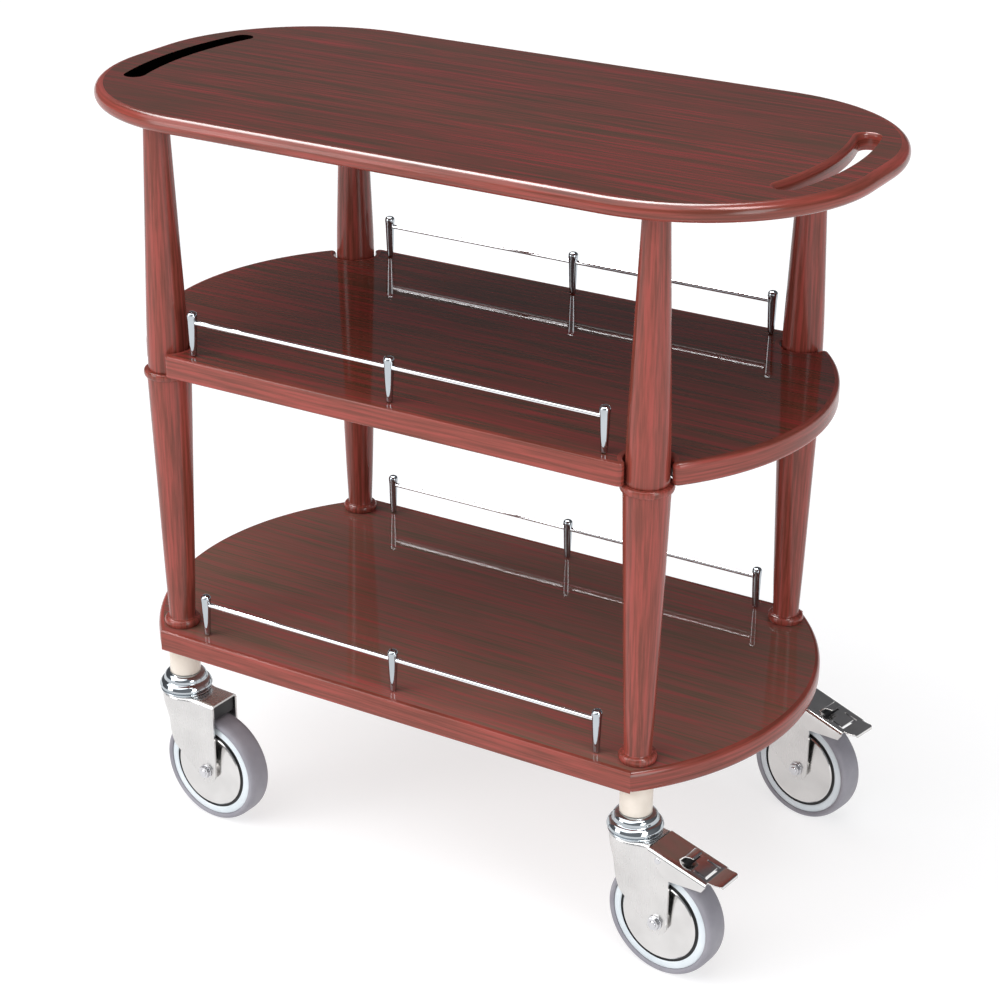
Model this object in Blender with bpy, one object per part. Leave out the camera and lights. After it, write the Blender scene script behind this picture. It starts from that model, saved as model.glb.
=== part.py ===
"""Three-tier wooden food service trolley on four swivel casters.

Frame: metres, +Z up, origin on the floor under the middle of the trolley.
The long side runs along X.  "front" is -Y, "right" is +X.
"""
import math

import bmesh
import bpy
from mathutils import Matrix

# ---------------------------------------------------------------- driving dimensions
GAP = 0.0003                     # clearance between pieces that touch

TOP_SURFACE = 0.820              # height of the top above the floor
TOP_THICKNESS = 0.018
TOP_HALF_LENGTH = 0.433
TOP_HALF_WIDTH = 0.216
TOP_CORNER_RADIUS = 0.190
TOP_BAND = 0.0095                # width of the solid-wood edge seen from above

SHELF_THICKNESS = 0.024
SHELF_BAND = 0.0055
MIDDLE_SURFACE = 0.5595
MIDDLE_HALF_WIDTH = 0.205
MIDDLE_CROWN = 0.381             # x of the middle of the bowed end
MIDDLE_END_RADIUS = 0.268
LOWER_SURFACE = 0.231
LOWER_HALF_WIDTH = 0.2078
LOWER_CROWN = 0.3785
LOWER_END_RADIUS = 0.295

SLOT_CROWN = 0.389               # x of the handle slot's centre line at y = 0
SLOT_RADIUS = 0.370              # radius of that centre line
SLOT_WIDTH = 0.022
SLOT_HALF_ANGLE = math.radians(15.1)

LEG_X = 0.285
LEG_Y = 0.1777
NOTCH_RADIUS = 0.0240            # round notch in the middle shelf for the leg
NOTCH_FILLET = 0.0055
SHARPEST_FILLET = 0.0008
ROD_RADIUS = 0.005
BORE_RADIUS = 0.0055
ROD_DEPTH_IN_TOP = 0.011

POST_X = 0.2432
POST_Y = 0.188
POST_HEIGHT = 0.049
RAIL_HEIGHT = 0.0375
RAIL_RADIUS = 0.0024
RAIL_HOLE_RADIUS = 0.0027

SLEEVE_RADIUS = 0.0172
SLEEVE_BOTTOM = 0.1718
BEARING_BOTTOM = 0.1500
BEARING_STEP = 0.1625
BEARING_RADIUS = 0.0295
BEARING_NECK_RADIUS = 0.0236

TRAIL = 0.042                    # swivel axis to wheel axle
WHEEL_RADIUS = 0.0635            # 127 mm (5 inch) wheel
TYRE_WIDTH = 0.030
TYRE_INNER_RADIUS = 0.0563
AXLE_RADIUS = 0.004
CHEEK_INNER = 0.0180             # fork cheeks, measured from the wheel's middle
CHEEK_OUTER = 0.0205
CROWN_TOP = BEARING_BOTTOM - GAP
CROWN_THICKNESS = 0.003

PEDAL_PIVOT_X = 0.043
PEDAL_PIVOT_Z = 0.1385
PEDAL_SLOPE = math.radians(13.5)
PEDAL_RISE = 0.0075              # top of the pedal above its pin
PEDAL_START = -0.0118            # ends of the pedal plate along x, from the pin
PEDAL_END = 0.0566
PEDAL_THICKNESS = 0.0020
FLANGE_INNER = 0.0209
FLANGE_OUTER = 0.0224
PIN_RADIUS = 0.0020

LEG_SEGMENTS = 16
POST_SEGMENTS = 10
BEARING_SEGMENTS = 20
WHEEL_SEGMENTS = 28

CORNERS = {                      # name: (x sign, y sign, yaw of the caster, brake)
    "front_left": (-1, -1, -4.0, False),
    "front_right": (1, -1, -7.0, True),
    "rear_left": (-1, 1, -6.0, False),
    "rear_right": (1, 1, -12.0, True),
}


# ---------------------------------------------------------------- materials and objects
def make_material(name, colour, roughness, metallic=0.0):
    material = bpy.data.materials.new(name)
    material.use_nodes = True
    shader = material.node_tree.nodes["Principled BSDF"]
    shader.inputs["Base Color"].default_value = (*colour, 1.0)
    shader.inputs["Roughness"].default_value = roughness
    shader.inputs["Metallic"].default_value = metallic
    material.diffuse_color = (*colour, 1.0)
    return material


FINISHES = {                     # colour, roughness, metallic
    "laminate": ((0.15, 0.05, 0.04), 0.20, 0.0),
    "solid_wood": ((0.36, 0.11, 0.08), 0.25, 0.0),
    "chrome": ((0.80, 0.80, 0.82), 0.08, 1.0),
    "stainless": ((0.72, 0.72, 0.72), 0.25, 1.0),
    "cream_plastic": ((0.80, 0.76, 0.70), 0.35, 0.0),
    "rubber": ((0.17, 0.17, 0.19), 0.60, 0.0),
    "wheel_plastic": ((0.75, 0.82, 0.85), 0.35, 0.0),
    "steel": ((0.50, 0.50, 0.52), 0.40, 1.0),
}


def add_object(name, bm, finish, parent=None):
    """Turn a bmesh into a named object with outward faces and its own material."""
    bmesh.ops.recalc_face_normals(bm, faces=bm.faces)
    mesh = bpy.data.meshes.new(name)
    bm.to_mesh(mesh)
    bm.free()
    mesh.shade_smooth()
    mesh.set_sharp_from_angle(angle=math.radians(30))
    colour, roughness, metallic = FINISHES[finish]
    mesh.materials.append(make_material(name, colour, roughness, metallic))
    obj = bpy.data.objects.new(name, mesh)
    bpy.context.scene.collection.objects.link(obj)
    obj.parent = parent
    return obj


def add_cutter(name, bm, parent=None):
    """A guide solid for a Boolean: never part of the trolley itself."""
    cutter = add_object(name, bm, "steel", parent)
    cutter.hide_render = True
    cutter.display_type = "WIRE"
    return cutter


def add_boolean(obj, other, operation="DIFFERENCE"):
    modifier = obj.modifiers.new(other.name, "BOOLEAN")
    modifier.operation = operation
    modifier.solver = "EXACT"
    modifier.object = other


def add_empty(name, location, rotation_z=0.0, parent=None):
    empty = bpy.data.objects.new(name, None)
    bpy.context.scene.collection.objects.link(empty)
    empty.location = location
    empty.rotation_euler = (0.0, 0.0, rotation_z)
    empty.parent = parent
    return empty


# ---------------------------------------------------------------- outlines in plan
def arc(centre, radius, start, end, steps):
    """Points on an arc, both ends included; angles in radians."""
    points = []
    for i in range(steps + 1):
        angle = start + (end - start) * i / steps
        points.append((centre[0] + radius * math.cos(angle),
                       centre[1] + radius * math.sin(angle)))
    return points


def four_way(quarter):
    """Mirror a quarter outline (x > 0, y > 0, from the +X end to the +Y side)."""
    left = [(-x, y) for x, y in reversed(quarter)]
    outline = quarter + left
    lower = [(-x, -y) for x, y in outline]
    return outline + lower


def top_outline(inset):
    """Straight sides and ends joined by large round corners."""
    centre = (TOP_HALF_LENGTH - TOP_CORNER_RADIUS, TOP_HALF_WIDTH - TOP_CORNER_RADIUS)
    return four_way(arc(centre, TOP_CORNER_RADIUS - inset, 0.0, math.pi / 2, 12))


def lower_outline(inset):
    """Straight sides and bowed ends that meet in plain corners."""
    centre_x = LOWER_CROWN - LOWER_END_RADIUS
    radius = LOWER_END_RADIUS - inset
    corner_angle = math.asin((LOWER_HALF_WIDTH - inset) / radius)
    quarter = arc((centre_x, 0.0), radius, corner_angle / 16, corner_angle, 7)
    return four_way(quarter)


def middle_outline(inset):
    """Bowed ends like the lower shelf, with a round notch for each leg."""
    centre_x = MIDDLE_CROWN - MIDDLE_END_RADIUS
    end_radius = MIDDLE_END_RADIUS - inset
    notch = NOTCH_RADIUS + inset
    fillet = max(NOTCH_FILLET - inset, SHARPEST_FILLET)
    side = MIDDLE_HALF_WIDTH - inset

    # fillet between the bowed end and the notch
    gap_x, gap_y = LEG_X - centre_x, LEG_Y
    distance = math.hypot(gap_x, gap_y)
    from_end = end_radius - fillet
    from_notch = notch + fillet
    along = (distance ** 2 + from_end ** 2 - from_notch ** 2) / (2 * distance)
    across = math.sqrt(from_end ** 2 - along ** 2)
    unit_x, unit_y = gap_x / distance, gap_y / distance
    end_fillet = (centre_x + along * unit_x + across * unit_y,
                  along * unit_y - across * unit_x)

    # fillet between the notch and the straight side
    side_fillet_y = side - fillet
    side_fillet = (LEG_X - math.sqrt(from_notch ** 2 - (side_fillet_y - LEG_Y) ** 2),
                   side_fillet_y)

    def bearing(start, target):
        return math.atan2(target[1] - start[1], target[0] - start[0])

    leg = (LEG_X, LEG_Y)
    end_angle = bearing((centre_x, 0.0), end_fillet)
    notch_start = bearing(leg, end_fillet) % math.tau
    notch_end = bearing(leg, side_fillet) % math.tau
    quarter = arc((centre_x, 0.0), end_radius, end_angle / 14, end_angle, 6)
    quarter += arc(end_fillet, fillet, end_angle, notch_start - math.pi, 3)[1:]
    quarter += arc(leg, notch, notch_start, notch_end, 9)[1:]
    quarter += arc(side_fillet, fillet, notch_end - math.pi, math.pi / 2, 3)[1:]
    return four_way(quarter)


def slot_outline(side):
    """Handle slot: a curved band with round ends; side is +1 or -1 in X."""
    centre_x = SLOT_CROWN - SLOT_RADIUS
    half = SLOT_WIDTH / 2
    outer = arc((centre_x, 0.0), SLOT_RADIUS + half, -SLOT_HALF_ANGLE, SLOT_HALF_ANGLE, 10)
    inner = arc((centre_x, 0.0), SLOT_RADIUS - half, SLOT_HALF_ANGLE, -SLOT_HALF_ANGLE, 10)

    def cap(angle, first):
        middle = (centre_x + SLOT_RADIUS * math.cos(angle), SLOT_RADIUS * math.sin(angle))
        return arc(middle, half, first, first + math.pi, 6)[1:-1]

    points = outer + cap(SLOT_HALF_ANGLE, SLOT_HALF_ANGLE)
    points += inner + cap(-SLOT_HALF_ANGLE, math.pi - SLOT_HALF_ANGLE)
    return [(side * x, y) for x, y in points]


# ---------------------------------------------------------------- solids from outlines
def prism(outline, bottom, top):
    """Straight extrusion of an outline along Z."""
    bm = bmesh.new()
    face = bm.faces.new([bm.verts.new((x, y, bottom)) for x, y in outline])
    result = bmesh.ops.extrude_face_region(bm, geom=[face])
    moved = [item for item in result["geom"] if isinstance(item, bmesh.types.BMVert)]
    bmesh.ops.translate(bm, verts=moved, vec=(0.0, 0.0, top - bottom))
    return bm


def loft_closed(rings):
    """A closed frame: each ring is a loop of 3-D points, the last joins the first."""
    bm = bmesh.new()
    loops = [[bm.verts.new(point) for point in ring] for ring in rings]
    count = len(loops[0])
    for i, loop in enumerate(loops):
        following = loops[(i + 1) % len(loops)]
        for j in range(count):
            k = (j + 1) % count
            bm.faces.new((loop[j], loop[k], following[k], following[j]))
    return bm


def turned(profile, segments):
    """Turn a profile of (radius, height) about Z.

    A profile that starts and ends on the axis gives a solid; any other is a closed
    loop and gives a ring or a tube.
    """
    bm = bmesh.new()
    on_axis = profile[0][0] == 0.0
    body = profile[1:-1] if on_axis else profile
    rings = []
    for radius, height in body:
        ring = []
        for i in range(segments):
            angle = math.tau * i / segments
            ring.append(bm.verts.new((radius * math.cos(angle), radius * math.sin(angle),
                                      height)))
        rings.append(ring)
    pairs = list(zip(rings, rings[1:]))
    if not on_axis:
        pairs.append((rings[-1], rings[0]))
    for ring, following in pairs:
        for i in range(segments):
            j = (i + 1) % segments
            bm.faces.new((ring[i], ring[j], following[j], following[i]))
    if on_axis:
        bm.faces.new(rings[0])
        bm.faces.new(rings[-1])
    return bm


def rod_along_x(radius, start, end, y, z, segments=12):
    bm = turned([(0, start), (radius, start), (radius, end), (0, end)], segments)
    bmesh.ops.rotate(bm, verts=bm.verts, cent=(0, 0, 0),
                     matrix=Matrix.Rotation(math.pi / 2, 3, "Y"))
    bmesh.ops.translate(bm, verts=bm.verts, vec=(0.0, y, z))
    return bm


def side_plate(outline, inner, outer):
    """A flat plate parallel to the wheel: outline in (x, z), thickness along Y."""
    bm = prism(outline, inner, outer)
    for vert in bm.verts:
        x, z, y = vert.co
        vert.co = (x, y, z)
    return bm


# ---------------------------------------------------------------- top and shelves
def band_profile(band, thickness, roll_in, roll_down, steps=2):
    """(inset, depth below the top face) from the inner top edge to the inner bottom edge."""
    points = [(band, 0.0)]
    for i in range(steps + 1):
        angle = math.pi / 2 * i / steps
        points.append((roll_in * (1 - math.sin(angle)), roll_down * (1 - math.cos(angle))))
    for i in range(steps + 1):
        angle = math.pi / 2 * i / steps
        points.append((roll_in * (1 - math.cos(angle)),
                       thickness - roll_down * (1 - math.sin(angle))))
    points.append((band, thickness))
    return points


def build_board(prefix, outline, surface, thickness, band, roll_in, roll_down):
    """One tier: a laminated panel inside a solid-wood edge band."""
    rings = []
    for inset, depth in band_profile(band, thickness, roll_in, roll_down):
        rings.append([(x, y, surface - depth) for x, y in outline(inset)])
    add_object(prefix + "_edge_band", loft_closed(rings), "solid_wood")
    panel_outline = outline(band + GAP)
    panel = prism(panel_outline, surface - thickness, surface)
    return add_object(prefix + "_panel", panel, "laminate")


def cut_rod_holes(panel, bottom, top):
    for corner, (x_sign, y_sign, _yaw, _brake) in CORNERS.items():
        hole = turned([(0, bottom), (BORE_RADIUS, bottom), (BORE_RADIUS, top), (0, top)],
                      LEG_SEGMENTS)
        bmesh.ops.translate(hole, verts=hole.verts, vec=(x_sign * LEG_X, y_sign * LEG_Y, 0))
        add_boolean(panel, add_cutter(f"cut_{panel.name}_{corner}", hole))


def build_boards():
    top = build_board("top", top_outline, TOP_SURFACE, TOP_THICKNESS, TOP_BAND,
                      roll_in=0.0088, roll_down=0.0075)
    for name, side in (("left", -1), ("right", 1)):
        slot = prism(slot_outline(side), TOP_SURFACE - 2 * TOP_THICKNESS,
                     TOP_SURFACE + TOP_THICKNESS)
        add_boolean(top, add_cutter(f"cut_handle_slot_{name}", slot))
    underside = TOP_SURFACE - TOP_THICKNESS
    cut_rod_holes(top, underside - 0.01, underside + ROD_DEPTH_IN_TOP + GAP)
    build_board("middle_shelf", middle_outline, MIDDLE_SURFACE, SHELF_THICKNESS,
                SHELF_BAND, roll_in=0.0030, roll_down=0.0030)
    lower = build_board("lower_shelf", lower_outline, LOWER_SURFACE, SHELF_THICKNESS,
                        SHELF_BAND, roll_in=0.0045, roll_down=0.0060)
    cut_rod_holes(lower, LOWER_SURFACE - 2 * SHELF_THICKNESS, LOWER_SURFACE + 0.01)


# ---------------------------------------------------------------- legs
def build_legs():
    bead_top = MIDDLE_SURFACE - SHELF_THICKNESS - GAP
    foot = LOWER_SURFACE + GAP
    lower_profile = [
        (BORE_RADIUS, foot),
        (0.0188, foot),
        (0.0200, foot + 0.0035),
        (0.0188, foot + 0.0080),
        (0.0142, foot + 0.0105),
        (0.0163, foot + 0.0600),
        (0.0190, foot + 0.1500),
        (0.0236, bead_top - 0.0084),
        (0.0258, bead_top - 0.0070),
        (0.0272, bead_top - 0.0034),
        (0.0262, bead_top),
        (BORE_RADIUS, bead_top),
    ]
    upper_foot = bead_top + GAP
    head = TOP_SURFACE - TOP_THICKNESS - GAP
    upper_profile = [
        (BORE_RADIUS, upper_foot),
        (0.0220, upper_foot),
        (0.0217, MIDDLE_SURFACE + 0.0200),
        (0.0135, head - 0.0030),
        (0.0176, head - 0.0025),
        (0.0176, head),
        (BORE_RADIUS, head),
    ]
    rod_bottom = CROWN_TOP - CROWN_THICKNESS - GAP
    rod_top = TOP_SURFACE - TOP_THICKNESS + ROD_DEPTH_IN_TOP
    rod_profile = [
        (0.0, rod_bottom - 0.0025),
        (0.0075, rod_bottom - 0.0025),
        (0.0090, rod_bottom),
        (ROD_RADIUS, rod_bottom),
        (ROD_RADIUS, rod_top),
        (0.0, rod_top),
    ]
    for corner, (x_sign, y_sign, _yaw, _brake) in CORNERS.items():
        place = add_empty(f"leg_axis_{corner}", (x_sign * LEG_X, y_sign * LEG_Y, 0.0))
        add_object(f"lower_leg_{corner}", turned(lower_profile, LEG_SEGMENTS),
                   "solid_wood", place)
        add_object(f"upper_leg_{corner}", turned(upper_profile, LEG_SEGMENTS),
                   "solid_wood", place)
        add_object(f"leg_rod_{corner}", turned(rod_profile, LEG_SEGMENTS), "steel", place)


# ---------------------------------------------------------------- gallery rails
def build_rail(tier, side, surface, y):
    post_profile = [
        (0.0, GAP),
        (0.0034, GAP),
        (0.0045, 0.0180),
        (0.0053, RAIL_HEIGHT + 0.0035),
        (0.0057, RAIL_HEIGHT + 0.0065),
        (0.0048, POST_HEIGHT - 0.0014),
        (0.0022, POST_HEIGHT),
        (0.0, POST_HEIGHT),
    ]
    height = surface + RAIL_HEIGHT
    add_object(f"gallery_rail_{tier}_{side}",
               rod_along_x(RAIL_RADIUS, -POST_X, POST_X, y, height), "chrome")
    socket = rod_along_x(RAIL_HOLE_RADIUS, -POST_X - GAP, POST_X + GAP, y, height)
    cutter = add_cutter(f"cut_rail_{tier}_{side}", socket)
    for name, x in (("left", -POST_X), ("centre", 0.0), ("right", POST_X)):
        place = add_empty(f"post_axis_{tier}_{side}_{name}", (x, y, surface))
        post = add_object(f"gallery_post_{tier}_{side}_{name}",
                          turned(post_profile, POST_SEGMENTS), "chrome", place)
        add_boolean(post, cutter)


# ---------------------------------------------------------------- casters
def cheek_outline(brake):
    """Fork cheek seen from the side, (x, z) in the caster's own frame."""
    crown_bottom = CROWN_TOP - CROWN_THICKNESS
    back = -0.0150
    front = 0.0470
    foot = arc((TRAIL, WHEEL_RADIUS), 0.0140, math.radians(-165), math.radians(0), 8)
    front_shoulder = [(front + 0.0080, 0.1000), (front + 0.0075, 0.1270)]
    front_top = [(0.0555, 0.1375), (0.0440, 0.1433), (0.0310, 0.1458), (0.0305, crown_bottom)]
    if not brake:
        front_top = [(0.0535, crown_bottom)]
    middle_z = crown_bottom + CROWN_THICKNESS / 2
    return ([(back, 0.1200)] + foot + front_shoulder + front_top
            + [(front_top[-1][0], middle_z), (back, middle_z)])


def crown_outline(front):
    """Fork crown seen from above: round behind the swivel axis, square over the wheel."""
    half = CHEEK_OUTER
    rear = arc((0.0, 0.0), 0.0280, math.radians(50), math.radians(310), 16)
    return rear + [(front, -half), (front, half)]


def build_fork(corner, brake, place):
    front = 0.0305 if brake else 0.0550
    fork = add_object(f"caster_fork_{corner}",
                      prism(crown_outline(front), CROWN_TOP - CROWN_THICKNESS, CROWN_TOP),
                      "stainless", place)
    for side in (-1, 1):
        inner, outer = sorted((side * CHEEK_INNER, side * CHEEK_OUTER))
        cheek = side_plate(cheek_outline(brake), inner, outer)
        name = f"join_cheek_{corner}_{'near' if side < 0 else 'far'}"
        add_boolean(fork, add_cutter(name, cheek, place), "UNION")
    king_bottom, king_top = CROWN_TOP - 2 * CROWN_THICKNESS, CROWN_TOP + CROWN_THICKNESS
    king_hole = turned([(0, king_bottom), (BORE_RADIUS, king_bottom), (BORE_RADIUS, king_top),
                        (0, king_top)], LEG_SEGMENTS)
    add_boolean(fork, add_cutter(f"cut_king_hole_{corner}", king_hole, place))
    add_boolean(fork, cross_hole(f"cut_axle_hole_{corner}", AXLE_RADIUS + GAP,
                                 TRAIL, WHEEL_RADIUS, place))
    if brake:
        add_boolean(fork, cross_hole(f"cut_pin_hole_{corner}", PIN_RADIUS + GAP,
                                     PEDAL_PIVOT_X, PEDAL_PIVOT_Z, place))


def cross_hole(name, radius, x, z, place):
    """Cutter for a hole through both cheeks, parallel to the axle."""
    width = 2 * CHEEK_OUTER
    hole = turned([(0, -width), (radius, -width), (radius, width), (0, width)], 12)
    bmesh.ops.rotate(hole, verts=hole.verts, cent=(0, 0, 0),
                     matrix=Matrix.Rotation(math.pi / 2, 3, "X"))
    bmesh.ops.translate(hole, verts=hole.verts, vec=(x, 0.0, z))
    return add_cutter(name, hole, place)


def build_wheel(corner, place):
    axle = add_empty(f"axle_axis_{corner}", (TRAIL, 0.0, WHEEL_RADIUS), parent=place)
    axle.rotation_euler = (math.pi / 2, 0.0, 0.0)
    half = TYRE_WIDTH / 2
    tyre_profile = [
        (TYRE_INNER_RADIUS, -half + 0.0010),
        (WHEEL_RADIUS - 0.0035, -half),
        (WHEEL_RADIUS, -half + 0.0060),
        (WHEEL_RADIUS, half - 0.0060),
        (WHEEL_RADIUS - 0.0035, half),
        (TYRE_INNER_RADIUS, half - 0.0010),
    ]
    rim = TYRE_INNER_RADIUS - GAP
    bore = AXLE_RADIUS + GAP
    core_profile = [
        (bore, -0.0172),
        (0.0100, -0.0172),
        (0.0120, -0.0135),
        (0.0455, -0.0135),
        (rim, -half + 0.0012),
        (rim, half - 0.0012),
        (0.0455, 0.0135),
        (0.0120, 0.0135),
        (0.0100, 0.0172),
        (bore, 0.0172),
    ]
    bolt_end = CHEEK_OUTER + GAP
    bolt_profile = [
        (0.0, -bolt_end - 0.0062),
        (0.0060, -bolt_end - 0.0062),
        (0.0068, -bolt_end),
        (AXLE_RADIUS, -bolt_end),
        (AXLE_RADIUS, bolt_end),
        (0.0068, bolt_end),
        (0.0060, bolt_end + 0.0062),
        (0.0, bolt_end + 0.0062),
    ]
    add_object(f"wheel_tyre_{corner}", turned(tyre_profile, WHEEL_SEGMENTS), "rubber", axle)
    add_object(f"wheel_core_{corner}", turned(core_profile, WHEEL_SEGMENTS),
               "wheel_plastic", axle)
    add_object(f"wheel_axle_{corner}", turned(bolt_profile, 12), "steel", axle)


def build_pedal(corner, place):
    """Brake pedal: a channel over the fork, hinged on a pin in each cheek."""
    pivot = add_empty(f"pedal_axis_{corner}", (PEDAL_PIVOT_X, 0.0, PEDAL_PIVOT_Z),
                      parent=place)
    start, end, thickness = PEDAL_START, PEDAL_END, PEDAL_THICKNESS

    def top_z(x):
        return PEDAL_RISE - math.tan(PEDAL_SLOPE) * x

    plate_side = [(start, top_z(start) - thickness), (end, top_z(end) - thickness),
                  (end, top_z(end)), (start, top_z(start))]
    pedal = add_object(f"brake_pedal_{corner}",
                       side_plate(plate_side, -FLANGE_OUTER, FLANGE_OUTER),
                       "stainless", pivot)
    lug = arc((0.0, 0.0), 0.0065, math.radians(150), math.radians(255), 5)
    flange_side = lug + [(0.0090, -0.0175), (0.0126, -0.0190), (0.0529, -0.0158),
                         (end - 0.0005, top_z(end) - 0.0035),
                         (end - 0.0005, top_z(end) - thickness / 2),
                         (start + 0.0005, top_z(start) - thickness / 2)]
    pin = turned([(0, CHEEK_INNER - 0.0010), (PIN_RADIUS, CHEEK_INNER - 0.0010),
                  (PIN_RADIUS, FLANGE_OUTER - 0.0005), (0.0036, FLANGE_OUTER - 0.0005),
                  (0.0030, FLANGE_OUTER + 0.0012), (0, FLANGE_OUTER + 0.0012)], 12)
    for side, label in ((-1, "near"), (1, "far")):
        inner, outer = sorted((side * FLANGE_INNER, side * FLANGE_OUTER))
        flange = side_plate(flange_side, inner, outer)
        add_boolean(pedal, add_cutter(f"join_flange_{corner}_{label}", flange, pivot), "UNION")
        stub = pin.copy()
        bmesh.ops.rotate(stub, verts=stub.verts, cent=(0, 0, 0),
                         matrix=Matrix.Rotation(-side * math.pi / 2, 3, "X"))
        add_boolean(pedal, add_cutter(f"join_pin_{corner}_{label}", stub, pivot), "UNION")
    pin.free()
    shoe_side = [(0.0210, -0.0108), (0.0330, -0.0145), (0.0345, top_z(0.0345) - 0.0010),
                 (0.0200, top_z(0.0200) - 0.0010)]
    tab_side = [(0.0190, top_z(0.0190) - 0.0010), (0.0225, top_z(0.0225) - 0.0010),
                (0.0310, top_z(0.0310) + 0.0065), (0.0290, top_z(0.0290) + 0.0075)]
    toe_side = [(end - 0.0020, top_z(end) - thickness), (end + 0.0155, top_z(end) - 0.0015),
                (end + 0.0160, top_z(end) + 0.0008), (end - 0.0020, top_z(end) + 0.0002)]
    extras = (("shoe", shoe_side, 0.0110), ("tab", tab_side, 0.0090), ("toe", toe_side, 0.0165))
    for label, outline, half in extras:
        piece = side_plate(outline, -half, half)
        add_boolean(pedal, add_cutter(f"join_{label}_{corner}", piece, pivot), "UNION")


def build_caster(corner, x_sign, y_sign, yaw, brake):
    place = add_empty(f"swivel_axis_{corner}", (x_sign * LEG_X, y_sign * LEG_Y, 0.0),
                      math.radians(yaw))
    sleeve_top = LOWER_SURFACE - SHELF_THICKNESS - GAP
    sleeve_profile = [(BORE_RADIUS, SLEEVE_BOTTOM), (SLEEVE_RADIUS, SLEEVE_BOTTOM),
                      (SLEEVE_RADIUS, sleeve_top), (BORE_RADIUS, sleeve_top)]
    bearing_top = SLEEVE_BOTTOM - GAP
    bearing_profile = [
        (BORE_RADIUS, BEARING_BOTTOM),
        (BEARING_RADIUS - 0.0010, BEARING_BOTTOM),
        (BEARING_RADIUS, BEARING_BOTTOM + 0.0060),
        (BEARING_RADIUS - 0.0020, BEARING_STEP - 0.0020),
        (BEARING_NECK_RADIUS + 0.0010, BEARING_STEP),
        (BEARING_NECK_RADIUS, bearing_top - 0.0030),
        (BEARING_NECK_RADIUS - 0.0035, bearing_top),
        (BORE_RADIUS, bearing_top),
    ]
    add_object(f"caster_sleeve_{corner}", turned(sleeve_profile, LEG_SEGMENTS),
               "cream_plastic", place)
    add_object(f"caster_bearing_{corner}", turned(bearing_profile, BEARING_SEGMENTS),
               "chrome", place)
    build_fork(corner, brake, place)
    build_wheel(corner, place)
    if brake:
        build_pedal(corner, place)


# ---------------------------------------------------------------- the whole trolley
def main():
    for obj in list(bpy.data.objects):
        bpy.data.objects.remove(obj, do_unlink=True)
    build_boards()
    build_legs()
    for tier, surface in (("middle", MIDDLE_SURFACE), ("lower", LOWER_SURFACE)):
        for side, sign in (("front", -1), ("rear", 1)):
            build_rail(tier, side, surface, sign * POST_Y)
    for corner, (x_sign, y_sign, yaw, brake) in CORNERS.items():
        build_caster(corner, x_sign, y_sign, yaw, brake)


main()
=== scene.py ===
"""Looks for the three-tier wooden food service trolley: fine pieces, materials, stage, camera."""
import math

import bmesh
import bpy
from mathutils import Matrix, Vector


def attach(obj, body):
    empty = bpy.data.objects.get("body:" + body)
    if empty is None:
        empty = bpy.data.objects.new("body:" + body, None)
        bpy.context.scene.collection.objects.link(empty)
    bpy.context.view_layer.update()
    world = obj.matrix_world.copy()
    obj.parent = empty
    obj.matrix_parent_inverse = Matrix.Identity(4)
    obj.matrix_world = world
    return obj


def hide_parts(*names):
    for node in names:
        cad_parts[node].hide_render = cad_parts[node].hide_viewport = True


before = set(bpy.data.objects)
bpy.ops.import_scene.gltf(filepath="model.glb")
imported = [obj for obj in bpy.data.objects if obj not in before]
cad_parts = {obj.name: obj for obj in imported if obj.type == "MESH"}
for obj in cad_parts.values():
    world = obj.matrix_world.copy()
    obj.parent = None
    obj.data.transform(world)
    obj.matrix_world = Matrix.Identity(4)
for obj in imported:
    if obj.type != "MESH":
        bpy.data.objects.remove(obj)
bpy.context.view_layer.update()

# ---------------------------------------------------------------- dimensions, as in the CAD
GAP = 0.0003
TOP_SURFACE = 0.820
TOP_THICKNESS = 0.018
TOP_HALF_LENGTH = 0.433
TOP_HALF_WIDTH = 0.216
TOP_CORNER_RADIUS = 0.190
TOP_BAND = 0.0095
SHELF_THICKNESS = 0.024
SHELF_BAND = 0.0055
MIDDLE_SURFACE = 0.5595
MIDDLE_HALF_WIDTH = 0.205
MIDDLE_CROWN = 0.381
MIDDLE_END_RADIUS = 0.268
LOWER_SURFACE = 0.231
LOWER_HALF_WIDTH = 0.2078
LOWER_CROWN = 0.3785
LOWER_END_RADIUS = 0.295
SLOT_CROWN = 0.389
SLOT_RADIUS = 0.370
SLOT_WIDTH = 0.022
SLOT_HALF_ANGLE = math.radians(15.1)
SLOT_LIPS = {-1: 0.0010, 1: 0.0060}     # width of the eased edge of each slot, by side
OUTER_LIP_SHARE = 0.15
LEG_X = 0.285
LEG_Y = 0.1777
NOTCH_RADIUS = 0.0240
NOTCH_FILLET = 0.0055
SHARPEST_FILLET = 0.0008
BORE_RADIUS = 0.0055
TOP_NOSE_ROLL = (0.0088, 0.0085)        # rolls: inwards, downwards
SIDE_ROLL = (0.0016, 0.0016)
MIDDLE_END_ROLL = (0.0042, 0.0046)
LOWER_END_ROLL = (0.0052, 0.0075)
POST_X = 0.2432
POST_Y = 0.188
POST_HEIGHT = 0.049
RAIL_HEIGHT = 0.0375
RAIL_RADIUS = 0.0024
SLEEVE_RADIUS = 0.0172
SLEEVE_BOTTOM = 0.1718
BEARING_BOTTOM = 0.1500
BEARING_STEP = 0.1625
BEARING_RADIUS = 0.0295
BEARING_NECK_RADIUS = 0.0236
TRAIL = 0.042
WHEEL_RADIUS = 0.0635
TYRE_WIDTH = 0.030
TYRE_INNER_RADIUS = 0.0563
AXLE_RADIUS = 0.004
CHEEK_OUTER = 0.0205
CROWN_TOP = BEARING_BOTTOM - GAP
SHEET = 0.0025
PEDAL_PIVOT_X = 0.043
PEDAL_PIVOT_Z = 0.1385
PEDAL_SLOPE = math.radians(13.5)
PEDAL_RISE = 0.0075
PEDAL_START = -0.0118
PEDAL_END = 0.0566
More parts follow.
